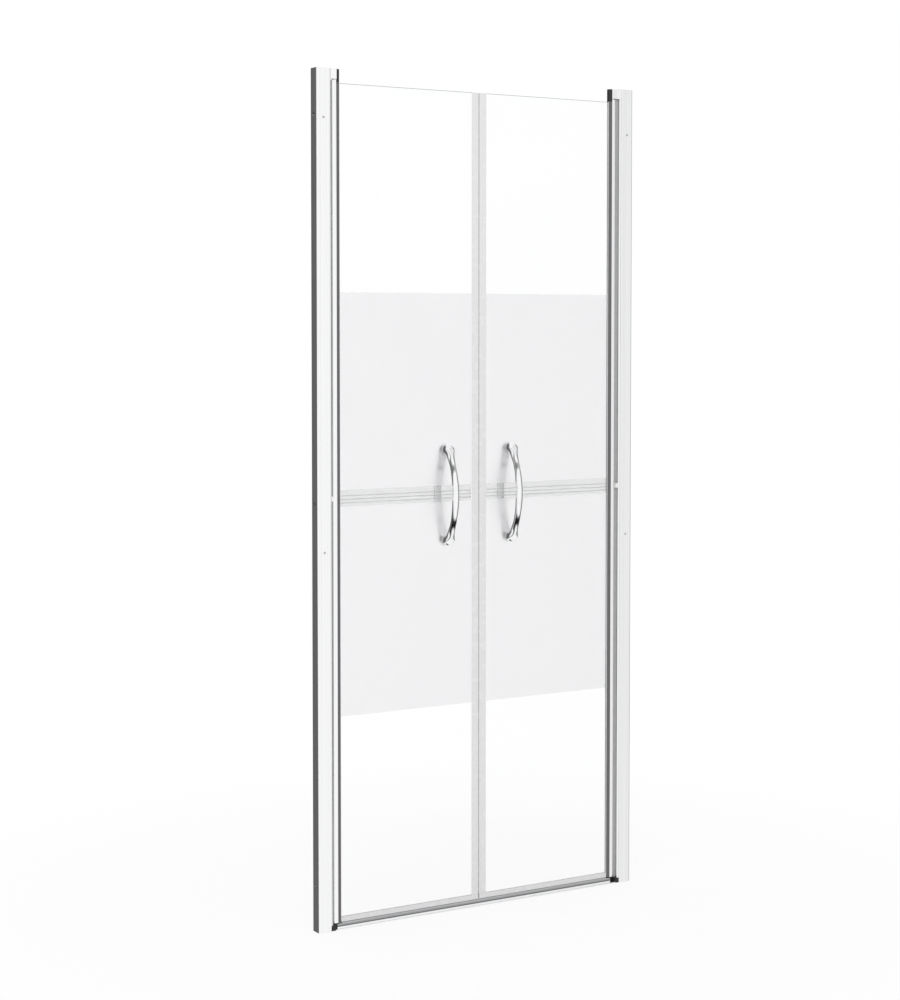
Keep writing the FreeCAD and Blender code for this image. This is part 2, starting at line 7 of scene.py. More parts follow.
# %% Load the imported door
import bmesh
import bpy
import json
import math
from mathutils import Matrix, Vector

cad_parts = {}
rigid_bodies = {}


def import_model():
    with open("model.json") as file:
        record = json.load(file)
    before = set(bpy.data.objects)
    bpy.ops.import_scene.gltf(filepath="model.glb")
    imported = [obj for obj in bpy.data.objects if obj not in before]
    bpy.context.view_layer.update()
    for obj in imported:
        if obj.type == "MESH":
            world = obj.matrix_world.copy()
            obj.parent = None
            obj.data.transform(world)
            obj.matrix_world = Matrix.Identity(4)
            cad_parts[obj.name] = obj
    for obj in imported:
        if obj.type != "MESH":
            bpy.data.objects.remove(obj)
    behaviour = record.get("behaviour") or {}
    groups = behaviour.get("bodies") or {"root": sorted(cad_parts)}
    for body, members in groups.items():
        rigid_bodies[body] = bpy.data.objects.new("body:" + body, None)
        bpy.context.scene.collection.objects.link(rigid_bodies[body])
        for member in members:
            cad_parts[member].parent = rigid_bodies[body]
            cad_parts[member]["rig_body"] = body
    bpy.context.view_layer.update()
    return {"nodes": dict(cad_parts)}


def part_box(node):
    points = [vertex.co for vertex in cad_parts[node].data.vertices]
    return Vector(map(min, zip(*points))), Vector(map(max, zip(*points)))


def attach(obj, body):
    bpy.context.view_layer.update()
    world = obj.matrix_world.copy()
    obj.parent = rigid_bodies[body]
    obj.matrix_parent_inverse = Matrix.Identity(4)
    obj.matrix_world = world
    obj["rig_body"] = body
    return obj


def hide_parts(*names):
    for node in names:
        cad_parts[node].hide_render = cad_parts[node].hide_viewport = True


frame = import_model()
nodes = frame["nodes"]
MM = 0.001

# %% [markdown]
# ## The camera
# The photograph looks at the door from the left, at chest height, through a long lens. Its uprights
# stay parallel, as with a shifted lens. A shift that large would push the door out of the picture in
# other views, so a small downward tilt takes over the larger part of it here. In the photograph's own
# view the uprights then converge by one or two pixels.

# %% Camera
camera_place = (-2.4945, -3.9937, 1.3331)
camera_heading = math.radians(31.2)
camera_dip = math.radians(2.673)
film_width, lens_length, lens_shift = 36, 73.97, -0.075

bpy.ops.object.select_all(action="DESELECT")
bpy.ops.object.camera_add(location=camera_place,
                          rotation=(math.pi / 2 - camera_dip, 0, -camera_heading))
camera = bpy.context.active_object
camera.name = "photo_camera"
camera.data.sensor_width = film_width
camera.data.lens = lens_length
camera.data.shift_y = lens_shift
bpy.context.scene.camera = camera
bpy.context.scene.view_settings.view_transform = "Standard"
print("camera", [round(part, 2) for part in camera_place], "lens", lens_length, "mm")

# %% [markdown]
# ## The studio
# Polished metal has hardly any colour of its own: it shows the room. A photographer lights such a door
# with a white tent in front and stands black cards at both sides, so that every rail gets a dark edge.
# The world does the same here. Its brightness depends on the direction that a reflected ray takes:
# bright all round, above and on the floor at its foot, dark at the two cards. Two dark bands in front, one
# slanting up and one down, draw the lines at the necks of the handles. What the camera sees straight, or
# through the glass, is plain white, and matt surfaces get an even soft light. Small helpers keep node
# trees short: the first adds one node and sets or links its inputs.

# %% Node helpers
def add_node(tree, kind, inputs=None, **settings):
    """Add one shader node, set its options, and set or link its inputs by name or number."""
    made = tree.nodes.new("ShaderNode" + kind)
    for key, value in settings.items():
        setattr(made, key, value)
    for key, value in (inputs or {}).items():
        if isinstance(value, bpy.types.NodeSocket):
            tree.links.new(value, made.inputs[key])
        else:
            made.inputs[key].default_value = value
    return made


def slide(tree, value, low, high, at_low=0.0, at_high=1.0):
    """A number that slides from one level to another while value goes from low to high."""
    ranged = add_node(tree, "MapRange", {"Value": value, "From Min": low, "From Max": high,
                                         "To Min": at_low, "To Max": at_high})
    return ranged.outputs[0]


def times(tree, first, second):
    """The product of two numbers."""
    return add_node(tree, "Math", {0: first, 1: second}, operation="MULTIPLY").outputs[0]


def straight_rays(tree):
    """A Light Path node, and a number that is 1 where the camera looks straight or through glass."""
    path = add_node(tree, "LightPath")
    straight = add_node(tree, "Math", {0: path.outputs["Is Camera Ray"],
                                       1: path.outputs["Is Transmission Ray"]}, operation="MAXIMUM")
    return path, straight.outputs[0]


def fill_ramp(ramp, stops):
    """Give a colour ramp grey stops from (place, level) pairs in rising order."""
    elements = ramp.color_ramp.elements
    for element, (place, level) in zip((elements[0], elements[-1]), (stops[0], stops[-1])):
        element.position = place
        element.color = (level, level, level, 1)
    for place, level in stops[1:-1]:
        elements.new(place).color = (level, level, level, 1)


print("node helpers ready")

# %% Studio world
# Brightness round the door by bearing in degrees: 0 is the camera's side, 90 the right, 180 behind.
studio_bearings = [
    (-180, 0.30), (-172, 0.11), (-152, 0.12), (-140, 0.13), (-124, 0.7), (-110, 1.0), (30, 1.0),
    (37, 0.84), (54, 0.81), (70, 0.12), (114, 0.10), (128, 0.95), (168, 1.0), (180, 0.30),
]
studio_top, studio_below, studio_ground, matt_light = 0.95, 0.015, 0.95, 0.85
band_lean = 0.355
# Where each field of the studio begins and where it is full, along a direction of length 1.
top_edge, front_edge = (0.64, 0.72), (0.52, 0.64)
high_band_foot, high_band_head, low_band_edge = (0.14, 0.20), (0.25, 0.31), (-0.27, -0.345)
ground_near, ground_far, ground_drop = (-0.44, -0.50), (-0.92, -1.0), (-0.40, -0.50)
# The high band is darkest at the left.
high_band_bearings, high_band_levels = (math.radians(-120), math.radians(40)), (0.05, 0.45)

world = bpy.data.worlds.new("studio")
bpy.context.scene.world = world
world.use_nodes = True
tree = world.node_tree
tree.nodes.clear()
direction = add_node(tree, "SeparateXYZ", {0: add_node(tree, "TexCoord").outputs["Generated"]})
to_front = times(tree, direction.outputs["Y"], -1.0)
bearing = add_node(tree, "Math", {0: direction.outputs["X"], 1: to_front}, operation="ARCTAN2").outputs[0]
turn = slide(tree, bearing, -math.pi, math.pi)
walls = add_node(tree, "ValToRGB", {"Fac": turn})
fill_ramp(walls, [((degrees + 180) / 360, level) for degrees, level in studio_bearings])
rise = direction.outputs["Z"]
low_slant, high_slant = (add_node(tree, "Math", {0: direction.outputs["Y"], 1: lean, 2: rise},
                                  operation="MULTIPLY_ADD").outputs[0] for lean in (-band_lean, band_lean))
in_front = slide(tree, direction.outputs["Y"], *front_edge, 1, 0)
high_band = times(tree, slide(tree, high_slant, *high_band_foot),
                  slide(tree, high_slant, *high_band_head, 1, 0))
high_band = times(tree, high_band, in_front)
low_band = times(tree, slide(tree, low_slant, *low_band_edge), in_front)
high_level = slide(tree, bearing, *high_band_bearings, *high_band_levels)
ground = times(tree, slide(tree, low_slant, *ground_near), slide(tree, low_slant, *ground_far, 1, 0))
ground = times(tree, ground, slide(tree, rise, *ground_drop))
studio = walls.outputs["Color"]
for share, level in ((slide(tree, rise, *top_edge), studio_top), (high_band, high_level),
                     (low_band, studio_below), (ground, studio_ground)):
    studio = add_node(tree, "Mix", {0: share, 2: studio, 3: level}).outputs[0]
path, straight = straight_rays(tree)
even = add_node(tree, "Mix", {0: path.outputs["Is Diffuse Ray"], 2: studio, 3: matt_light})
shown = add_node(tree, "Mix", {0: straight, 2: even.outputs[0], 3: 1.0})
background = add_node(tree, "Background", {"Color": shown.outputs[0], "Strength": 1.0})
add_node(tree, "OutputWorld", {"Surface": background.outputs[0]})
print("studio has", len(studio_bearings), "bearings")

# %% [markdown]
# The floor is white paper. To the camera it glows as white as the world. Near the door a small matt
# share keeps a trace of its shadow and fades out with distance. The metal mirrors the studio, not the
# paper.

# %% Floor and soft lamp
floor_size, floor_drop = 30.0, 0.5 * MM
paper_grey, paper_share, shadow_reach = (0.9, 0.9, 0.9, 1), 0.14, (0.7, 1.6)
lamp_place, lamp_turn = (-2.2, -3.0, 3.2), (math.radians(52), 0, math.radians(-36))
lamp_size, lamp_power = 2.2, 38

bpy.ops.object.select_all(action="DESELECT")
bpy.ops.mesh.primitive_plane_add(size=floor_size, location=(0, 0, -floor_drop))
floor = bpy.context.active_object
floor.name = "floor"
floor.visible_glossy = False
paper = bpy.data.materials.new("white_paper")
paper.use_nodes = True
tree = paper.node_tree
tree.nodes.clear()
straight = straight_rays(tree)[1]
matt = add_node(tree, "BsdfDiffuse", {"Color": paper_grey})
glow = add_node(tree, "Emission", {"Color": (1, 1, 1, 1), "Strength": 1.0})
reach = add_node(tree, "VectorMath", {0: add_node(tree, "TexCoord").outputs["Object"]}, operation="LENGTH")
fade = slide(tree, reach.outputs["Value"], *shadow_reach, paper_share, 0.0)
lit = add_node(tree, "MixShader", {0: fade, 1: glow.outputs[0], 2: matt.outputs[0]})
sheet = add_node(tree, "MixShader", {0: straight, 1: matt.outputs[0], 2: lit.outputs[0]})
add_node(tree, "OutputMaterial", {"Surface": sheet.outputs[0]})
floor.data.materials.append(paper)

bpy.ops.object.light_add(type="AREA", location=lamp_place, rotation=lamp_turn)
lamp = bpy.context.active_object
lamp.name = "soft_lamp"
lamp.data.size = lamp_size
lamp.data.energy = lamp_power
lamp.visible_glossy = False
print("floor", floor_size, "m, lamp", lamp_power, "W")

# %% [markdown]
# ## Finishes
# Every finish starts from one Principled shader. What is the same all over is set on the shader, and
# what varies comes from noise on Object coordinates, so that it keeps its real size on every piece.

# %% Start of a finish
NOISE_LOW, NOISE_HIGH = 0.3, 0.7


def start_finish(name, sockets):
    """A new material with one Principled shader; returns it with its tree, shader and coordinates."""
    finish = bpy.data.materials.new(name)
    finish.use_nodes = True
    tree = finish.node_tree
    tree.nodes.clear()
    shader = add_node(tree, "BsdfPrincipled", sockets)
    add_node(tree, "OutputMaterial", {"Surface": shader.outputs[0]})
    place = add_node(tree, "TexCoord").outputs["Object"]
    return finish, tree, shader, place


def noise_field(tree, place, scale, detail=3.0):
    """Noise with the given number of grains per metre along X, Y and Z."""
    stretched = add_node(tree, "Mapping", {"Vector": place, "Scale": scale})
    noise = add_node(tree, "TexNoise", {"Vector": stretched.outputs[0], "Scale": 1.0, "Detail": detail})
    return noise.outputs["Fac"]


def vary(tree, field, low, high):
    """A number that follows a noise field between two values."""
    return slide(tree, field, NOISE_LOW, NOISE_HIGH, low, high)


def tint(tree, field, dark, light):
    """A colour that follows a noise field between two colours."""
    mixed = add_node(tree, "Mix", {0: vary(tree, field, 0, 1), 6: (*dark, 1), 7: (*light, 1)},
                     data_type="RGBA")
    return mixed.outputs[2]


def surface(tree, shader, field, colours, roughness, height=0.0):
    """Let colour, roughness and relief (a height in metres) follow a noise field. Returns the colour."""
    colour = tint(tree, field, *colours)
    tree.links.new(colour, shader.inputs["Base Color"])
    if roughness[0] == roughness[1]:
        shader.inputs["Roughness"].default_value = roughness[0]
    else:
        tree.links.new(vary(tree, field, *roughness), shader.inputs["Roughness"])
    if height:
        bump = add_node(tree, "Bump", {"Height": field, "Distance": height, "Strength": 1.0})
        tree.links.new(bump.outputs[0], shader.inputs["Normal"])
    return colour


def grained(name, sockets, colours, roughness, grains, height=0.0):
    """A finish of one material whose colour, shine and relief vary by grains per metre."""
    finish, tree, shader, place = start_finish(name, sockets)
    surface(tree, shader, noise_field(tree, place, grains), colours, roughness, height)
    return finish


print("finish helpers ready")

# %% [markdown]
# Extruded aluminium comes out of its die with hair-fine lines along the bar. Anodising keeps them, so
# the shine differs a little from line to line. The noise is stretched about five hundred times along the
# bar. The brushed rib at the floor has a darker tone and grows darker towards its foot: painted shade.

# %% Extruded metal finishes
METAL = {"Metallic": 1.0}
die_line_height = 0.004 * MM


def drawn_metal(name, colours, roughness, across, along, run, painted_shade=None):
    """Metal with fine die lines along the axis numbered by run; an optional (low z, high z, low share) adds
    painted shade, darkening the colour towards low z.
    """
    finish, tree, shader, place = start_finish(name, METAL)
    scale = [across] * 3
    scale[run] = along
    lines = noise_field(tree, place, scale, detail=4.0)
    colour = surface(tree, shader, lines, colours, roughness, die_line_height)
    # Painted shade: below the high z the colour is mixed towards black, down to the low share at low z.
    if painted_shade:
        height = add_node(tree, "SeparateXYZ", {0: place})
        share = slide(tree, height.outputs["Z"], *painted_shade, 1.0)
        painted_shade_colour = add_node(tree, "Mix", {0: share, 6: (0, 0, 0, 1), 7: colour}, data_type="RGBA")
        tree.links.new(painted_shade_colour.outputs[2], shader.inputs["Base Color"])
    return finish


bright_aluminium = drawn_metal("bright_aluminium_lines", ((0.91, 0.912, 0.92), (0.97, 0.972, 0.975)),
                               (0.13, 0.21), across=420, along=0.8, run=2)
strip_aluminium = drawn_metal("strip_aluminium_lines", ((0.955, 0.957, 0.962), (0.99, 0.992, 0.995)),
                              (0.16, 0.24), across=420, along=0.8, run=0)
# The rib's darker tone and its darkening towards the foot are painted shade.
threshold_aluminium = drawn_metal("threshold_rib_painted_shade", ((0.66, 0.665, 0.675), (0.74, 0.745, 0.755)),
                                  (0.36, 0.46), across=700, along=1.5, run=0,
                                  painted_shade=(5 * MM, 13.5 * MM, 0.12))
print("metal", bright_aluminium.name, strip_aluminium.name, threshold_aluminium.name)

# %% [markdown]
# Chrome plate is the best mirror on the door. Water and fingers leave a very thin haze, which shows
# only as small changes of roughness. Turned steel, inside the hinges and screws, is duller and greyer.

# %% Plated and turned metal
chrome = grained("chrome_plate", METAL, ((0.90, 0.905, 0.915), (0.95, 0.95, 0.955)), (0.03, 0.075),
                 grains=[90] * 3)
steel = grained("turned_steel", METAL, ((0.56, 0.57, 0.58), (0.66, 0.67, 0.68)), (0.24, 0.36),
                grains=[600] * 3)
print("metal", chrome.name, steel.name)

# %% [markdown]
# The pane is one sheet of toughened float glass with three looks. Its clear faces carry the slight
# roller waves of the toughening oven. The middle zone is etched on the shower side: light still passes,
# but every ray is scattered, so only what touches the glass shows clearly behind it. The ground edges
# are duller and look through far more glass, which makes them grey-green.

# %% Glass finishes
GLASS = {"Transmission Weight": 1.0, "IOR": 1.5}

clear_glass = grained("clear_glass", GLASS, ((0.99, 0.994, 0.993), (0.995, 0.998, 0.997)), (0.0, 0.0),
                      grains=(2.0, 2.0, 5.0), height=0.02 * MM)
frosted_glass = grained("frosted_glass", GLASS, ((0.94, 0.935, 0.955), (0.96, 0.955, 0.975)), (0.36, 1.0),
                        grains=[2600] * 3, height=0.01 * MM)
ground_edge = grained("ground_glass_edge", GLASS, ((0.13, 0.18, 0.17), (0.19, 0.25, 0.24)), (0.18, 0.3),
                      grains=[900] * 3, height=0.02 * MM)
print("glass", clear_glass.name, frosted_glass.name, ground_edge.name)

# %% [markdown]
# The seals are soft milky vinyl. The band across the leaves is acrylic, which lets most of the light
# through. The hinge bushes and clips are white plastic, the floor blocks black plastic with a fine moulded
# grain. The trims of the posts are dark rubber, and the magnets are rubber filled with iron powder.

# %% Plastic finishes
plastic_ior = 1.46


def soft_plastic(name, colours, roughness, grains=60, grain_height=0.002 * MM, clear=0.0):
    """Plastic or rubber with a fine grain; clear is the share of light that it lets through."""
    sockets = {"Transmission Weight": clear, "IOR": plastic_ior}
    return grained(name, sockets, colours, roughness, [grains] * 3, grain_height)


seal_vinyl = soft_plastic("seal_vinyl", ((0.765, 0.765, 0.772), (0.785, 0.785, 0.79)), (0.22, 0.30))
hinge_vinyl = soft_plastic("hinge_vinyl", ((0.40, 0.40, 0.405), (0.44, 0.44, 0.444)), (0.3, 0.4))
band_acrylic = soft_plastic("band_acrylic", ((0.955, 0.955, 0.96), (0.98, 0.98, 0.983)), (0.05, 0.09),
                            clear=0.76)
# The grooves' darker colour is painted shade in the recesses; their higher roughness is real.
band_groove_painted_shade = soft_plastic("band_groove_painted_shade", ((0.78, 0.78, 0.788), (0.84, 0.84, 0.846)), (0.3, 0.4), clear=0.5)
white_plastic = soft_plastic("white_moulding", ((0.83, 0.83, 0.82), (0.89, 0.89, 0.885)), (0.28, 0.4),
                             grains=1500, grain_height=0.006 * MM)
black_plastic = soft_plastic("black_moulding", ((0.010, 0.010, 0.011), (0.02, 0.02, 0.021)), (0.14, 0.22),
                             grains=1800, grain_height=0.004 * MM)
trim_rubber = soft_plastic("trim_rubber", ((0.11, 0.11, 0.115), (0.13, 0.13, 0.136)), (0.26, 0.32),
                           grains=900)
magnet_rubber = soft_plastic("magnet_rubber", ((0.42, 0.40, 0.38), (0.56, 0.54, 0.52)), (0.6, 0.8),
                             grains=2400, grain_height=0.015 * MM)
print("plastic", seal_vinyl.name, band_acrylic.name, white_plastic.name, black_plastic.name)

# %% [markdown]
# ## Tools for modelling by hand
# An operator works on what is selected. So each step starts with nothing selected, takes one piece,
# picks its faces, edges or corners by their place, and then calls one operator. These few helpers are
# that hand: take, pick, cut, pull and apply.

# %% Selecting
def fresh_start():
    """Object mode with nothing selected."""
    if bpy.context.mode != "OBJECT":
        bpy.ops.object.mode_set(mode="OBJECT")
    bpy.ops.object.select_all(action="DESELECT")


def take(piece):
    """Make one piece the only selected and the active one."""
    fresh_start()
    piece.select_set(True)
    bpy.context.view_layer.objects.active = piece


def settle(name, size=(1, 1, 1)):
    """Name the primitive just added, size it, and move its place into its mesh."""
    piece = bpy.context.active_object
    piece.name = name
    piece.data.name = name
    piece.scale = size
    bpy.ops.object.transform_apply(location=True, rotation=True, scale=True)
    return piece


def middle(item):
    """Middle of a face, edge or corner."""
    if isinstance(item, bmesh.types.BMVert):
        return item.co.copy()
    return sum((corner.co for corner in item.verts), Vector()) / len(item.verts)


def pick(piece, kind, wanted):
    """Go into edit mode and select only the items that wanted() agrees to. Returns how many."""
    take(piece)
    bpy.ops.object.mode_set(mode="EDIT")
    bpy.ops.mesh.select_mode(type=kind)
    bpy.ops.mesh.select_all(action="DESELECT")
    mesh = bmesh.from_edit_mesh(piece.data)
    items = {"FACE": mesh.faces, "EDGE": mesh.edges, "VERT": mesh.verts}[kind]
    chosen = [item for item in items if wanted(item)]
    for item in chosen:
        item.select_set(True)
    mesh.select_flush_mode()
    bmesh.update_edit_mesh(piece.data)
    return len(chosen)


def pick_all(piece, kind="FACE"):
    """Go into edit mode and select everything."""
    return pick(piece, kind, lambda item: True)


print("selecting helpers ready")

# %% Shaping
AXES = {"X": Vector((1, 0, 0)), "Y": Vector((0, 1, 0)), "Z": Vector((0, 0, 1))}
HAIR = 0.001 * MM


def near(a, b):
    """True where two places agree to a thousandth of a millimetre."""
    return abs(a - b) < HAIR


def cut_line(piece, axis, place):
    """Cut new edges where a flat plane crosses the piece."""
    pick_all(piece)
    bpy.ops.mesh.bisect(plane_co=AXES[axis] * place, plane_no=AXES[axis])


def pull(offset):
    """Extrude what is selected by an offset."""
    bpy.ops.mesh.extrude_region_move(TRANSFORM_OT_translate={"value": offset})


def merge_flats(degrees=1.0):
    """Dissolve the edges across flat faces of the piece in edit mode."""
    bpy.ops.mesh.select_all(action="SELECT")
    bpy.ops.mesh.dissolve_limited(angle_limit=math.radians(degrees))


def long_edges(height, half_width):
    """A test for the long edges at a height and at half a width from the middle plane."""
    return lambda edge: near(middle(edge).z, height) and near(abs(middle(edge).y), half_width)


def face_outwards(piece):
    """Turn every face outwards, once doubles are merged."""
    pick_all(piece)
    bpy.ops.mesh.remove_doubles(threshold=HAIR)
    bpy.ops.mesh.normals_make_consistent(inside=False)
    fresh_start()


def apply_modifier(piece, kind, **settings):
    """Add one modifier, set it and apply it."""
    take(piece)
    modifier = piece.modifiers.new(kind.lower(), kind)
    for key, value in settings.items():
        setattr(modifier, key, value)
    bpy.ops.object.modifier_apply(modifier=modifier.name)
    fresh_start()


print("shaping helpers ready")

# %% Blanks and cutting
def box_blank(name, low, high):
    """A block between two corners, to be shaped further."""
    fresh_start()
    bpy.ops.mesh.primitive_cube_add(size=1, location=(low + high) / 2)
    return settle(name, high - low)


def rod_blank(name, radius, start, axis, length, sides=48):
    """A round bar from a start point along X, Y or Z, to be shaped further or to cut with."""
    turned = {"X": (0, math.pi / 2, 0), "Y": (math.pi / 2, 0, 0), "Z": (0, 0, 0)}[axis]
    fresh_start()
    bpy.ops.mesh.primitive_cylinder_add(vertices=sides, radius=radius, depth=length,
                                        location=start + AXES[axis] * (length / 2), rotation=turned)
    return settle(name)


def cut_away(piece, cutter):
    """Remove a cutter's shape from a piece, and the cutter from the scene."""
    apply_modifier(piece, "BOOLEAN", operation="DIFFERENCE", solver="EXACT", object=cutter)
    bpy.data.meshes.remove(cutter.data)


def mill(piece, low, high):
    """Cut a block between two corners away."""
    cut_away(piece, box_blank("mill", low, high))


def drill(piece, radius, start, axis, length, sides=48):
    """Cut a round hole from a start point along X, Y or Z."""
    cut_away(piece, rod_blank("drill", radius, start, axis, length, sides))


print("cutting helpers ready")

# %% Finishing
def shade(piece, degrees):
    """Shade smoothly across edges flatter than an angle, so that flats stay flat."""
    take(piece)
    bpy.ops.object.shade_smooth_by_angle(angle=math.radians(degrees))
    apply_modifier(piece, "WEIGHTED_NORMAL", keep_sharp=True)


def soften(piece, width, segments):
    """Break every sharp edge by a small width."""
    apply_modifier(piece, "BEVEL", width=width, segments=segments, limit_method="ANGLE",
                   angle_limit=math.radians(35))
    shade(piece, 40)


def mirrored_copy(piece, name, across=(-1, 1, 1)):
    """A copy with its own mesh, mirrored in the middle planes of the door."""
    take(piece)
    bpy.ops.object.duplicate()
    copy = bpy.context.active_object
    copy.name = name
    copy.data.name = name
    pick_all(copy)
    bpy.ops.transform.resize(value=across, center_override=(0, 0, 0))
    if across[0] * across[1] * across[2] < 0:
        bpy.ops.mesh.flip_normals()
    fresh_start()
    return copy


def seat(piece, node, slot, *finishes):
    """Dress a piece and let it stand for a node, on the body that carries the node."""
    for finish in finishes:
        piece.data.materials.append(finish)
    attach(piece, nodes[node]["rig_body"])
    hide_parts(node)
    print(piece.name, len(piece.data.polygons), "faces for", node)


def seat_pair(left_piece, part, slot, *finishes, edge=0.0, segments=3):
    """Soften a left piece and its mirror image, and seat both for their nodes. Returns both."""
    pair = (left_piece, mirrored_copy(left_piece, left_piece.name.replace("_left", "_right")))
    for side, piece in zip(("left_", "right_"), pair):
        if edge:
            soften(piece, edge, segments)
        seat(piece, side + part, slot, *finishes)
    return pair


print("finishing helpers ready")

# %% [markdown]
# ## Wall profiles and jambs
# Both are extrusions: one section all the way. A maker draws the section once and pushes metal through
# it, so the model does the same. A flat blank is cut along a few lines, the cells that are air are
# deleted, the corners are rounded, and the section is pulled up to the full height. A cube with the
# inside scooped out would need as many steps and leave its ends closed.

# %% Section to bar
def flat_blank(name, low, high, run):
    """A flat rectangle across the start of a bar that runs along Z or X."""
    centre, size = (low + high) / 2, high - low
    fresh_start()
    if run == "Z":
        bpy.ops.mesh.primitive_plane_add(size=1, location=(centre.x, centre.y, low.z))
        return settle(name, (size.x, size.y, 1))
    bpy.ops.mesh.primitive_plane_add(size=1, location=(low.x, centre.y, centre.z),
                                     rotation=(0, math.pi / 2, 0))
    return settle(name, (size.z, size.y, 1))


def extruded_bar(name, low, high, run, lines, is_air, rounded=()):
    """Cut a section from a blank, round the given (corner, radius) pairs, and pull it to length."""
    bar = flat_blank(name, low, high, run)
    for axis, places in lines.items():
        for place in places:
            cut_line(bar, axis, place)
    pick(bar, "FACE", lambda face: is_air(middle(face)))
    bpy.ops.mesh.delete(type="FACE")
    merge_flats()
    for corner, radius in rounded:
        pick(bar, "VERT", lambda vert: (vert.co - corner).length < HAIR)
        bpy.ops.mesh.bevel(offset=radius, segments=6, affect="VERTICES")
    pick_all(bar)
    pull(AXES[run] * (high - low).dot(AXES[run]))
    face_outwards(bar)
    return bar


def corner_pair(x, y, z, radius):
    """Two corners to round, one on each side of the middle plane."""
    return [(Vector((x, side * y, z)), radius) for side in (-1, 1)]


print("extruding helpers ready")

# %% Wall profiles
profile_low, profile_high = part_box("left_wall_profile")
profile_web, profile_flange = 2.0 * MM, 1.8 * MM
profile_corner, profile_lip_corner = 3.0 * MM, 0.6 * MM
groove_width, groove_depth = 0.9 * MM, 0.35 * MM
groove_shares = (0.26, 0.76)
wall_hole_radius, wall_hole_inset = 3.0 * MM, 100 * MM
metal_edge = 0.15 * MM

profile_reach = profile_high.x - profile_low.x
groove_edges = [profile_low.x + profile_reach * share + side * groove_width / 2
                for share in groove_shares for side in (-1, 1)]
flange_inside = profile_high.y - profile_flange
groove_floor = profile_high.y - groove_depth


def profile_air(spot):
    """True inside the channel and in the four grooves."""
    in_channel = spot.x > profile_low.x + profile_web and abs(spot.y) < flange_inside
    between = any(groove_edges[i] < spot.x < groove_edges[i + 1] for i in (0, 2))
    return in_channel or (between and abs(spot.y) > groove_floor)


profile_corners = corner_pair(profile_low.x, profile_high.y, profile_low.z, profile_corner)
profile_corners += corner_pair(profile_high.x, profile_high.y, profile_low.z, profile_lip_corner)
wall_profile = extruded_bar(
    "wall_profile_left", profile_low, profile_high, "Z",
    {"X": [profile_low.x + profile_web, *groove_edges],
     "Y": [-groove_floor, -flange_inside, flange_inside, groove_floor]},
    profile_air, profile_corners)
for height in (wall_hole_inset, profile_high.z / 2, profile_high.z - wall_hole_inset):
    drill_start = Vector((profile_low.x - profile_web, 0, height))
    drill(wall_profile, wall_hole_radius, drill_start, "X", 3 * profile_web)
seat_pair(wall_profile, "wall_profile", "bright_aluminium", bright_aluminium, edge=metal_edge, segments=2)

# %% [markdown]
# The hinge jamb is the channel that slides in the wall profile and takes up a wall that isn't plumb.
# Only its face beside the post shows. It is drawn the same way, with its web on the other side. Two
# notches at its foot leave room for the ears of the black floor block.

# %% Hinge jambs
jamb_low, jamb_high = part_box("left_hinge_jamb")
jamb_web, jamb_flange, jamb_corner = 2.0 * MM, 1.6 * MM, 2.0 * MM
foot_notch, fit_gap = 12.05 * MM, 0.05 * MM

jamb_inside = jamb_high.y - jamb_flange
jamb_corners = corner_pair(jamb_high.x, jamb_high.y, jamb_low.z, jamb_corner)
jamb = extruded_bar(
    "hinge_jamb_left", jamb_low, jamb_high, "Z",
    {"X": [jamb_high.x - jamb_web], "Y": [-jamb_inside, jamb_inside]},
    lambda spot: spot.x < jamb_high.x - jamb_web and abs(spot.y) < jamb_inside, jamb_corners)
for side in (-1, 1):
    notch_y = sorted((side * (jamb_inside - fit_gap), side * (jamb_high.y + MM)))
    mill(jamb, Vector((profile_high.x, notch_y[0], jamb_low.z - MM)),
         Vector((jamb_high.x + MM, notch_y[1], foot_notch)))
seat_pair(jamb, "hinge_jamb", "bright_aluminium", bright_aluminium, edge=metal_edge, segments=2)

# %% [markdown]
# ## Lock screws
# Four small domed screws lock the jambs in their profiles: the grey dots in the photograph. One head is
# a short round bar with a well bevelled rim and a cross cut into it. The shank is its back face, inset
# and pulled in. The other three are copies.

# %% Lock screws
screw_low, screw_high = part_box("jamb_lock_screws")
head_radius, shank_radius, dome_share = 2.7 * MM, 1.75 * MM, 0.92
cross_reach, cross_width, cross_depth = 1.6 * MM, 0.55 * MM, 0.75 * MM

head_seat = -profile_high.y
head_height = head_seat - screw_low.y
screw_x = screw_low.x + head_radius
screw_heights = (screw_low.z + head_radius, screw_high.z - head_radius)


def lock_screw(name, height):
    """One screw at rest in the left profile, at a height."""
    centre = Vector((screw_x, screw_low.y, height))
    screw = rod_blank(name, head_radius, centre, "Y", head_height, sides=32)
    pick(screw, "EDGE", lambda edge: all(near(corner.co.y, screw_low.y) for corner in edge.verts))
    bpy.ops.mesh.bevel(offset=head_height * dome_share, segments=6, profile=0.5, affect="EDGES")
    pick(screw, "FACE", lambda face: near(middle(face).y, head_seat))
    bpy.ops.mesh.inset(thickness=head_radius - shank_radius)
    pull((0, screw_high.y - head_seat, 0))
    for reach_x, reach_z in ((cross_reach, cross_width / 2), (cross_width / 2, cross_reach)):
        reach = Vector((reach_x, cross_depth, reach_z))
        mill(screw, centre - reach, centre + reach)
    return screw


left_screws = [lock_screw(f"lock_screw_{index}", height) for index, height in enumerate(screw_heights)]
right_screws = [mirrored_copy(screw, screw.name + "_right") for screw in left_screws]
fresh_start()
for screw in left_screws + right_screws:
    screw.select_set(True)
bpy.context.view_layer.objects.active = left_screws[0]
bpy.ops.object.join()
lock_screws = settle("lock_screws")
take(lock_screws)
bpy.ops.object.shade_smooth_by_angle(angle=math.radians(35))
seat(lock_screws, "jamb_lock_screws", "steel", steel)

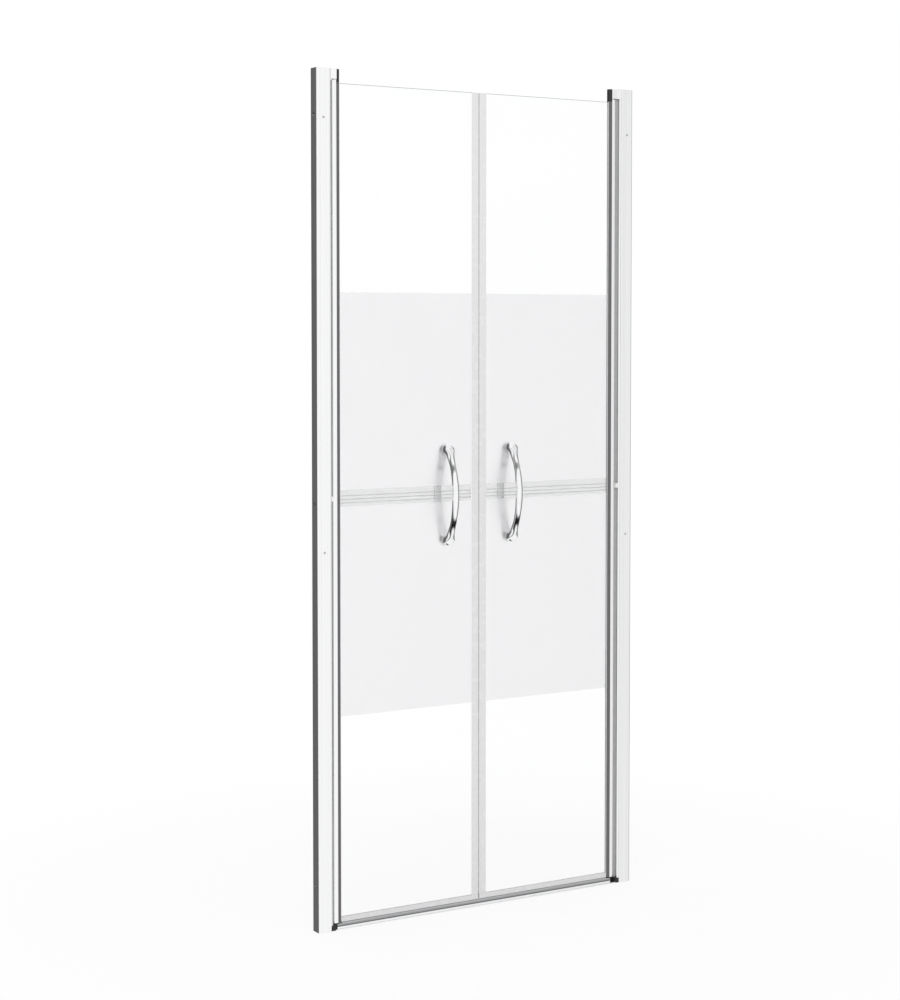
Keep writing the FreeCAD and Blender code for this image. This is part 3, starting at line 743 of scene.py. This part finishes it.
# %% [markdown]
# ## Hinge caps
# The top cap is a chromed bracket on the jamb with a thin cheek on each side. A block makes its root.
# Its inner end is scored twice, and the two narrow faces beside the scores are pulled out as cheeks.

# %% Top caps
cap_low, cap_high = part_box("left_top_cap")
pin_low, pin_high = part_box("left_bottom_pin")
axis_x = (pin_low.x + pin_high.x) / 2
cheek, bearing_back, cap_rim, cap_edge = 1.4 * MM, 4.2 * MM, 0.8 * MM, 0.2 * MM

root_end = axis_x - bearing_back
cheek_inside = cap_high.y - cheek
top_cap = box_blank("top_cap_left", cap_low, Vector((root_end, cap_high.y, cap_high.z)))
for side in (-1, 1):
    cut_line(top_cap, "Y", side * cheek_inside)
pick(top_cap, "FACE", lambda face: near(middle(face).x, root_end)
     and abs(middle(face).y) > cheek_inside)
pull((cap_high.x - root_end, 0, 0))
merge_flats()
pick(top_cap, "EDGE", long_edges(cap_high.z, cap_high.y))
bpy.ops.mesh.bevel(offset=cap_rim, segments=5, affect="EDGES")
seat_pair(top_cap, "top_cap", "chrome", chrome, edge=cap_edge)

# %% [markdown]
# Between the cheeks sits the black bearing that holds the upper pin. Its nose is half round, so it starts
# as a round bar that is halved; the cut face is pulled back to the cheeks, and from there a narrower
# shank is pulled in between them.

# %% Top bearings
bearing_low, bearing_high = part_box("left_top_bearing")
nose_radius = bearing_high.y
nose_x = bearing_high.x - nose_radius
nose_root = cap_high.x + fit_gap
shank_half = cheek_inside - fit_gap

bearing = rod_blank("top_bearing_left", nose_radius, Vector((nose_x, 0, bearing_low.z)), "Z",
                    bearing_high.z - bearing_low.z, sides=96)
pick_all(bearing)
bpy.ops.mesh.bisect(plane_co=(nose_x, 0, 0), plane_no=(1, 0, 0), clear_inner=True, use_fill=True)
pick(bearing, "FACE", lambda face: near(middle(face).x, nose_x))
pull((nose_root - nose_x, 0, 0))
face_outwards(bearing)
pick(bearing, "EDGE", lambda edge: all(near(corner.co.z, bearing_high.z) for corner in edge.verts)
     and middle(edge).x > nose_root + HAIR)
bpy.ops.mesh.bevel(offset=cap_rim, segments=5, affect="EDGES")
for side in (-1, 1):
    cut_line(bearing, "Y", side * shank_half)
pick(bearing, "FACE", lambda face: near(middle(face).x, nose_root) and abs(middle(face).y) < shank_half)
pull((bearing_low.x - nose_root, 0, 0))
merge_flats(degrees=0.5)
face_outwards(bearing)
seat_pair(bearing, "top_bearing", "black_plastic", black_plastic, edge=cap_edge)

# %% [markdown]
# The bottom cap is a black block on the floor. Two ears reach over the jamb's foot, and a tongue under
# the post holds the lower pin. The block is scored on both ends, and ears and tongue are pulled out.

# %% Bottom caps
base_low, base_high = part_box("left_bottom_cap")
block_length, ear_inner, tongue_half, tongue_low = 6.0 * MM, 11.4 * MM, 4.3 * MM, 2.5 * MM
pin_bore, pin_bore_depth, block_edge = 2.55 * MM, 8.2 * MM, 0.4 * MM
block_start = jamb_high.x
block_end = block_start + block_length

bottom_cap = box_blank("bottom_cap_left", Vector((block_start, base_low.y, base_low.z)),
                       Vector((block_end, base_high.y, base_high.z)))
for place in (-ear_inner, -tongue_half, tongue_half, ear_inner):
    cut_line(bottom_cap, "Y", place)
cut_line(bottom_cap, "Z", tongue_low)
pick(bottom_cap, "FACE", lambda face: near(middle(face).x, block_end)
     and abs(middle(face).y) < tongue_half and middle(face).z > tongue_low)
pull((base_high.x - block_end, 0, 0))
pick(bottom_cap, "FACE", lambda face: near(middle(face).x, block_start)
     and abs(middle(face).y) > ear_inner)
pull((base_low.x - block_start, 0, 0))
merge_flats()
drill(bottom_cap, pin_bore, Vector((axis_x, 0, base_high.z - pin_bore_depth)), "Z", 2 * pin_bore_depth)
seat_pair(bottom_cap, "bottom_cap", "black_plastic", black_plastic, edge=block_edge)

# %% [markdown]
# At mid-height a white clip bridges the gap between jamb and post. Its inner face is hollowed to the
# post's round back, by cutting a round bar of that size away from a small block.

# %% Post guides
guide_low, guide_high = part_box("left_post_guide")
post_radius = axis_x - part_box("left_hinge_post")[0].x
guide_gap, guide_edge = 0.3 * MM, 0.35 * MM

guide = box_blank("post_guide_left", Vector((jamb_high.x, guide_low.y, guide_low.z)), guide_high)
drill(guide, post_radius + guide_gap, Vector((axis_x, 0, guide_low.z - MM)), "Z",
      guide_high.z - guide_low.z + 2 * MM, sides=96)
seat_pair(guide, "post_guide", "white_plastic", white_plastic, edge=guide_edge)

# %% [markdown]
# ## Threshold bar
# A low bar on the floor stops water under the leaves. Its section is a flat strip with a round-topped
# rib. A block makes the strip; the middle of its top is pulled up, and bevelling the rib's two long
# edges by half its width turns them into one round crest. Both ends are slotted for the caps' tongues.
# The strip and the rib's foot keep the bright finish of the profiles, the rib above is brushed. The rib's
# darker tone, deepening towards its foot, is painted shade.

# %% Threshold bar
bar_low, bar_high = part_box("threshold_bar")
strip_height, rib_half, strip_round, rib_foot = 2.5 * MM, 6.0 * MM, 0.8 * MM, 5.2 * MM
rib_overlap, slot_gap = 0.5 * MM, 0.2 * MM
rib_end = rib_overlap - axis_x
crest_end = -(base_high.x + slot_gap)

threshold = box_blank("threshold", bar_low, Vector((bar_high.x, bar_high.y, strip_height)))
pick(threshold, "EDGE", long_edges(strip_height, bar_high.y))
bpy.ops.mesh.bevel(offset=strip_round, segments=4, affect="EDGES")
for axis, place in (("Y", -rib_half), ("Y", rib_half), ("X", -rib_end), ("X", rib_end)):
    cut_line(threshold, axis, place)
pick(threshold, "FACE", lambda face: near(middle(face).z, strip_height)
     and abs(middle(face).y) < rib_half and abs(middle(face).x) < rib_end)
pull((0, 0, bar_high.z - strip_height))
pick(threshold, "EDGE", long_edges(bar_high.z, rib_half))
bpy.ops.mesh.bevel(offset=rib_half - HAIR, segments=14, affect="EDGES")
face_outwards(threshold)
cut_line(threshold, "Z", rib_foot)
for side in (-1, 1):
    slot_x = sorted((side * crest_end, side * (rib_end + MM)))
    for half, slot_floor in ((tongue_half + slot_gap, strip_height), (rib_half + MM, base_high.z)):
        mill(threshold, Vector((slot_x[0], -half, slot_floor)), Vector((slot_x[1], half, bar_high.z + MM)))
shade(threshold, 30)
seat(threshold, "threshold_bar", "threshold_aluminium", threshold_aluminium, strip_aluminium)
# Faces above the rib's foot get the finish with the painted shade.
for face in threshold.data.polygons:
    face.material_index = 0 if face.center.z > rib_foot else 1

# %% [markdown]
# ## Glass panes
# A pane starts as a block of its real size, a hair thinner so that no face lies in a seal's face. Cuts
# mark the etched zone and the clear field under the ribbed band, the long edges are ground to a small
# bevel, and two holes take the handle studs. Then each face gets its own finish by the way it looks and
# by its height. The handles mirror the studio, not the pane right behind them.

# %% Glass panes
glass_low, glass_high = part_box("left_glass")
band_low, band_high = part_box("left_decor_strip")
frost_bottom, frost_top = 474 * MM, 1414 * MM
glass_skin, ground_bevel = 0.1 * MM, 0.9 * MM
stud_hole_radius, face_on = 6.05 * MM, 0.99
handle_low, handle_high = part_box("left_outer_handle")
sleeve_low, sleeve_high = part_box("left_handle_sleeves")
sleeve_radius = 6.0 * MM
handle_x = (handle_low.x + handle_high.x) / 2
foot_heights = (sleeve_low.z + sleeve_radius, sleeve_high.z - sleeve_radius)

skin = Vector((0, glass_skin, 0))
pane = box_blank("glass_pane_left", glass_low + skin, glass_high - skin)
for height in (frost_bottom, band_low.z, band_high.z, frost_top):
    cut_line(pane, "Z", height)


def is_rim(edge):
    """True for an edge between a large face and a narrow one."""
    facing = [abs(face.normal.y) > face_on for face in edge.link_faces]
    return any(facing) and not all(facing)


pick(pane, "EDGE", is_rim)
bpy.ops.mesh.bevel(offset=ground_bevel, segments=2, affect="EDGES")
for height in foot_heights:
    drill(pane, stud_hole_radius, Vector((handle_x, 2 * glass_low.y, height)), "Y", 4 * glass_high.y)
print("pane", len(pane.data.polygons), "faces")

# %% Dress the panes
CLEAR, FROSTED, GROUND = range(3)


def glass_look(face):
    """Which finish one face of a pane has. Only the shower side is etched, and not under the band."""
    if abs(face.normal.y) < face_on:
        return GROUND
    in_zone = frost_bottom < face.center.z < frost_top
    under_band = band_low.z < face.center.z < band_high.z
    return FROSTED if face.normal.y > 0 and in_zone and not under_band else CLEAR


for pane in seat_pair(pane, "glass", "glass", clear_glass, frosted_glass, ground_edge):
    pane.visible_glossy = False
    for face in pane.data.polygons:
        face.material_index = glass_look(face)

# %% [markdown]
# ## Seals and the ribbed band
# The magnet seal clips over the free edge of a leaf: two legs on the glass, the shower side's a little
# shorter, and a chamber for the magnet, with a rounded nose that meets the other leaf. It is drawn as a
# section, like the profiles.

# %% Magnet seals
seal_low, seal_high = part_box("left_magnet_seal")
seal_wall, seal_nose, seal_tip, seal_edge = 1.0 * MM, 2.0 * MM, 0.45 * MM, 0.12 * MM
leg_setback = 3.0 * MM
glass_half = glass_high.y
chamber_start, chamber_end = glass_high.x + seal_wall, seal_high.x - seal_wall
inner_leg = seal_low.x + leg_setback


def seal_air(spot):
    """True in the slot for the glass, in the magnet's chamber and before the shorter leg."""
    on_glass = spot.x < glass_high.x or chamber_start < spot.x < chamber_end
    return on_glass and abs(spot.y) < glass_half or spot.x < inner_leg and spot.y > 0


seal_corners = corner_pair(seal_high.x, seal_high.y, seal_low.z, seal_nose)
seal_corners += [(Vector((start, side * seal_high.y, seal_low.z)), seal_tip)
                 for start, side in ((seal_low.x, -1), (inner_leg, 1))]
magnet_seal = extruded_bar(
    "magnet_seal_left", seal_low, seal_high, "Z",
    {"X": [inner_leg, glass_high.x, chamber_start, chamber_end], "Y": [-glass_half, glass_half]},
    seal_air, seal_corners)
seat_pair(magnet_seal, "magnet_seal", "clear_seal", seal_vinyl, edge=seal_edge, segments=2)

# %% [markdown]
# The bottom seal grips the glass from below and wipes along the threshold with two thin lips. Its
# section lies across X, so the bar runs along the leaf.

# %% Bottom seals
wipe_low, wipe_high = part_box("left_bottom_seal")
web_low = glass_low.z - seal_wall


def wipe_air(spot):
    """True above and below the web, between the two legs."""
    return abs(spot.y) < glass_half and not web_low < spot.z < glass_low.z


wipe_corners = [(Vector((wipe_low.x, side * wipe_high.y, height)), seal_tip)
                for side in (-1, 1) for height in (wipe_low.z, wipe_high.z)]
bottom_seal = extruded_bar(
    "bottom_seal_left", wipe_low, wipe_high, "X",
    {"Y": [-glass_half, glass_half], "Z": [web_low, glass_low.z]},
    wipe_air, wipe_corners)
seat_pair(bottom_seal, "bottom_seal", "clear_seal", seal_vinyl, edge=seal_edge, segments=2)

# %% [markdown]
# The band across each leaf is a clear strip with fine grooves along it, bonded to the shower side. It is
# a thin block, scored along the grooves' edges; the narrow faces between the scores are pushed in, and a
# bevel rounds each rib so that it bends the light into the lines that the photograph shows. The grooves
# themselves are a little duller, and their darker colour is painted shade.

# %% Ribbed band
rib_groove_width, rib_groove_depth, rib_edge = 1.8 * MM, 0.6 * MM, 0.25 * MM
rib_groove_shares = (-0.285, -0.075, 0.14)
band_middle = (band_low.z + band_high.z) / 2
rib_grooves = [band_middle + (band_high.z - band_low.z) * share for share in rib_groove_shares]

band = box_blank("ribbed_band_left", band_low, band_high)
for height in rib_grooves:
    for side in (-1, 1):
        cut_line(band, "Z", height + side * rib_groove_width / 2)
for height in rib_grooves:
    pick(band, "FACE", lambda face: near(middle(face).y, band_high.y) and near(middle(face).z, height))
    pull((0, -rib_groove_depth, 0))
face_outwards(band)
for band in seat_pair(band, "decor_strip", "decor_strip", band_acrylic, band_groove_painted_shade, edge=rib_edge):
    # Groove faces get the finish with the painted shade.
    for face in band.data.polygons:
        in_groove = any(abs(face.center.z - height) < rib_groove_width / 2 for height in rib_grooves)
        face.material_index = 1 if in_groove and face.center.y > band_low.y + HAIR else 0

# %% [markdown]
# ## Bow handles
# A bow handle is cast in one piece: a bar that bends out for the hand, slims at the necks and flares into
# two round feet, with no edge anywhere. That calls for a subdivision surface: a coarse cage of rings that
# Blender smooths. Booleans of drums and bars would leave hard seams in the chrome. Half a handle is
# modelled at the origin and mirrored, so both ends are alike.

# %% Handle sizes
grip_radius, neck_radius, end_radius = 8.2 * MM, 6.9 * MM, 9.6 * MM
end_reach, bow_reach = 8.5 * MM, 39.0 * MM
foot_radius, washer_gap = 11.8 * MM, 1.0 * MM
neck_share, last_ring_share = 0.62, 0.78
ring_sides, ring_count, ring_reach = 8, 6, 0.01

half_spacing = (foot_heights[1] - foot_heights[0]) / 2
bow_rise = bow_reach - end_reach
bow_radius = (half_spacing ** 2 + bow_rise ** 2) / (2 * bow_rise)
bow_angle = math.asin(half_spacing / bow_radius)
bow_centre = Vector((0, bow_radius - bow_reach, 0))
# Smoothing draws a ring of eight corners in, so the cage is drawn larger by this factor.
cage = 6 / (4 + 2 * math.cos(2 * math.pi / ring_sides))


def bar_radius(share):
    """Thickness of the bow: full at the grip, slim at the neck, flared at the end."""
    if share < neck_share:
        blend = (1 - math.cos(math.pi * share / neck_share)) / 2
        return grip_radius + (neck_radius - grip_radius) * blend
    blend = (1 - math.cos(math.pi * (share - neck_share) / (1 - neck_share))) / 2
    return neck_radius + (end_radius - neck_radius) * blend


def bow_point(share):
    """Centre of the bar at a share of the way from the middle to the end."""
    angle = bow_angle * share
    return bow_centre + Vector((0, -math.cos(angle), math.sin(angle))) * bow_radius


print("bow radius", round(bow_radius / MM), "mm, half angle", round(math.degrees(bow_angle), 1), "degrees")

# %% [markdown]
# One ring at the middle of the grip is spun about the bow's centre, and each new ring is resized to the
# thickness of the bar there. Past the neck the bar thickens towards the glass only, so that its outer
# line keeps one even curve.

# %% Spin the bow
def bow_share(corner):
    """How far along the bow a cage corner lies."""
    from_centre = corner.co - bow_centre
    return math.atan2(from_centre.z, -from_centre.y) / bow_angle


fresh_start()
bpy.ops.mesh.primitive_circle_add(vertices=ring_sides, radius=grip_radius * cage, location=bow_point(0))
handle = settle("handle_outer_left")
pick_all(handle, "EDGE")
bpy.ops.mesh.spin(steps=ring_count, angle=bow_angle * last_ring_share, center=bow_centre, axis=(1, 0, 0))
for ring in range(1, ring_count + 1):
    share = last_ring_share * ring / ring_count
    pick(handle, "VERT", lambda corner: abs(bow_share(corner) - share) < ring_reach)
    thicker = bar_radius(share) / grip_radius
    bpy.ops.transform.resize(value=(thicker, thicker, thicker), center_override=bow_point(share))
    if share > neck_share:
        to_glass = (bow_centre - bow_point(share)).normalized()
        bpy.ops.transform.translate(value=to_glass * (bar_radius(share) - neck_radius))
cage_corners = bmesh.from_edit_mesh(handle.data).verts
print("cage corners", len(cage_corners), "top at", round(max(c.co.z for c in cage_corners) / MM), "mm")

# %% [markdown]
# The foot is a short drum with a rounded front: a ring at the washer is pulled outwards station by
# station and closed at both ends. Its front leans towards the bow, so that the bar flows onto it.

# %% Foot
# Distance from the glass, share of the foot's radius, and lean in degrees.
foot_stations = ((washer_gap, 0.97, 0), (1.7 * MM, 1.0, 0), (7.5 * MM, 1.0, 0),
                 (15.5 * MM, 1.0, 24), (18.0 * MM, 0.72, 25))

foot_reach, foot_share, foot_lean = foot_stations[0]
fresh_start()
bpy.ops.mesh.primitive_circle_add(vertices=ring_sides, radius=foot_radius * foot_share * cage,
                                  location=(0, -foot_reach, half_spacing), rotation=(math.pi / 2, 0, 0))
foot = settle("foot")
pick_all(foot, "EDGE")
for reach, share, lean in foot_stations[1:]:
    ring_centre = (0, -reach, half_spacing)
    pull((0, foot_reach - reach, 0))
    bpy.ops.transform.resize(value=[share / foot_share] * 3, center_override=ring_centre)
    bpy.ops.transform.rotate(value=math.radians(lean - foot_lean), orient_axis="X",
                             center_override=ring_centre)
    foot_reach, foot_share, foot_lean = reach, share, lean
bpy.ops.mesh.fill_grid(span=2)
pick(foot, "EDGE", lambda edge: edge.is_boundary)
bpy.ops.mesh.fill_grid(span=2)
foot_corners = bmesh.from_edit_mesh(foot.data).verts
print("foot reaches out", round(-min(corner.co.y for corner in foot_corners) / MM, 1), "mm")

# %% [markdown]
# Foot and bow become one cage. Four faces of the foot, low on its front, are opened, which leaves a hole
# with eight corners, as many as the bow's last ring has. Bridging the two lets the bar flow into the foot.

# %% Join bow and foot
opening_reach, opening_drop = foot_stations[2][0], 0.4 * foot_radius


def faces_bow(face):
    """True for the four faces of the foot that the bow runs into."""
    spot = middle(face) - Vector((0, 0, half_spacing))
    return spot.y < -opening_reach and spot.z < -abs(spot.x) and spot.z < -opening_drop


opened = pick(foot, "FACE", faces_bow)
bpy.ops.mesh.delete(type="FACE")
take(foot)
handle.select_set(True)
bpy.context.view_layer.objects.active = handle
bpy.ops.object.join()
rim = pick(handle, "EDGE", lambda edge: edge.is_boundary and middle(edge).z > grip_radius)
bpy.ops.mesh.bridge_edge_loops()
print("opened", opened, "faces, bridged", rim, "edges")

# %% [markdown]
# A mirror makes the lower half and a subdivision surface rounds the whole. The finished handle is moved
# to its place on the left leaf, and its three mirror images complete the set.

# %% Smooth and copy the handles
seam_reach, smooth_levels = 0.05 * MM, 3

apply_modifier(handle, "MIRROR", use_axis=(False, False, True), use_clip=True, merge_threshold=seam_reach)
face_outwards(handle)
apply_modifier(handle, "SUBSURF", levels=smooth_levels, render_levels=smooth_levels)
pick_all(handle)
bpy.ops.transform.translate(value=(handle_x, glass_low.y, (foot_heights[0] + foot_heights[1]) / 2))
take(handle)
bpy.ops.object.shade_smooth()
handles = {"left_outer_handle": handle}
for node, name, across in (("right_outer_handle", "handle_outer_right", (-1, 1, 1)),
                           ("left_inner_handle", "handle_inner_left", (1, -1, 1)),
                           ("right_inner_handle", "handle_inner_right", (-1, -1, 1))):
    handles[node] = mirrored_copy(handle, name, across)
for node, piece in handles.items():
    seat(piece, node, "chrome", chrome)

# %% [markdown]
# ## The remaining construction
# Posts, pins, bushes, gaskets, studs and the other small pieces already have their true shape, so they
# keep their meshes and only get a finish. The record names a material slot for each of them. The seals
# beside the posts are a greyer vinyl than those on the leaves.

# %% Finishes for the remaining nodes
finish_of_slot = {
    "bright_aluminium": bright_aluminium, "threshold_aluminium": threshold_aluminium,
    "chrome": chrome, "steel": steel, "glass": clear_glass, "clear_seal": seal_vinyl,
    "decor_strip": band_acrylic, "white_plastic": white_plastic, "black_plastic": black_plastic,
    "trim_rubber": trim_rubber, "magnet": magnet_rubber,
}
dressed = 0
for node in nodes.values():
    if node.hide_render:
        continue
    for slot in node.material_slots:
        slot.material = finish_of_slot[slot.material.name]
        dressed += 1
for node in ("left_post_seal", "right_post_seal"):
    nodes[node].material_slots[0].material = hinge_vinyl
print("dressed", dressed, "remaining nodes")
